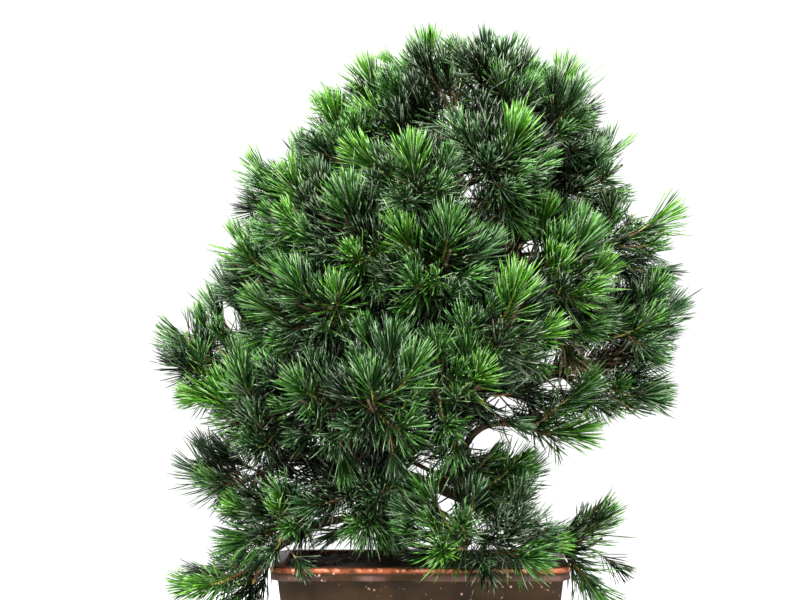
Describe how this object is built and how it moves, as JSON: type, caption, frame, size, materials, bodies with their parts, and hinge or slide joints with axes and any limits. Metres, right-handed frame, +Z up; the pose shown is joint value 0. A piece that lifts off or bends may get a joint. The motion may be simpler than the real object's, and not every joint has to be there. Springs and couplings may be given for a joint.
{
  "type": "aleppo pine bonsai",
  "caption": "Small pine bonsai in its pot: tapering bent trunk, arching side bough, tufts of long needles all round, and a low glazed rectangular pot on corner feet.",
  "frame": {"origin": "middle of the pot, on the plane that its feet stand on", "axes": "+Z up, +X along the pot's length to the right, -Y out of the front that faces the viewer"},
  "size_m": [0.5227, 0.3929, 0.5961],
  "materials": {
    "bark": "matte",
    "foliage": "matte",
    "glaze": "gloss",
    "soil": "matte"
  },
  "bodies": {
    "root": {"arch_lower_bough": "bark", "arch_upper_bough": "bark", "back_1_1": "foliage", "back_1_1_bough": "bark", "back_1_2": "foliage", "back_2_1": "foliage", "back_2_1_bough": "bark", "back_2_2": "foliage", "back_2_3": "foliage", "back_3_1": "foliage", "back_3_1_bough": "bark", "back_3_2": "foliage", "back_4_1": "foliage", "back_4_1_bough": "bark", "back_4_2": "foliage", "front_centre": "foliage", "front_left": "foliage", "front_left_upper": "foliage", "front_low_centre": "foliage", "front_low_right": "foliage", "front_lower_left": "foliage", "front_right": "foliage", "hanging_bough": "bark", "leader": "foliage", "left_lower": "foliage", "left_mid": "foliage", "left_reach": "foliage", "left_reach_bough": "bark", "left_shoulder": "foliage", "left_shoulder_bough": "bark", "left_tip": "foliage", "left_tip_bough": "bark", "left_upper": "foliage", "low_front": "foliage", "low_front_left": "foliage", "low_front_right": "foliage", "low_left": "foliage", "low_left_outer": "foliage", "low_left_outer_bough": "bark", "low_right": "foliage", "low_right_outer": "foliage", "low_right_outer_bough": "bark", "pot": "glaze", "right_front": "foliage", "right_lower": "foliage", "right_middle": "foliage", "right_reach": "foliage", "right_shoulder": "foliage", "right_tip": "foliage", "right_tip_bough": "bark", "right_upper": "foliage", "shoulder_front": "foliage", "soil": "soil", "top_centre": "foliage", "top_left": "foliage", "top_right": "foliage", "trunk": "bark", "upper_centre": "foliage", "upper_front": "foliage", "upper_left": "foliage"}
  },
  "joints": []
}
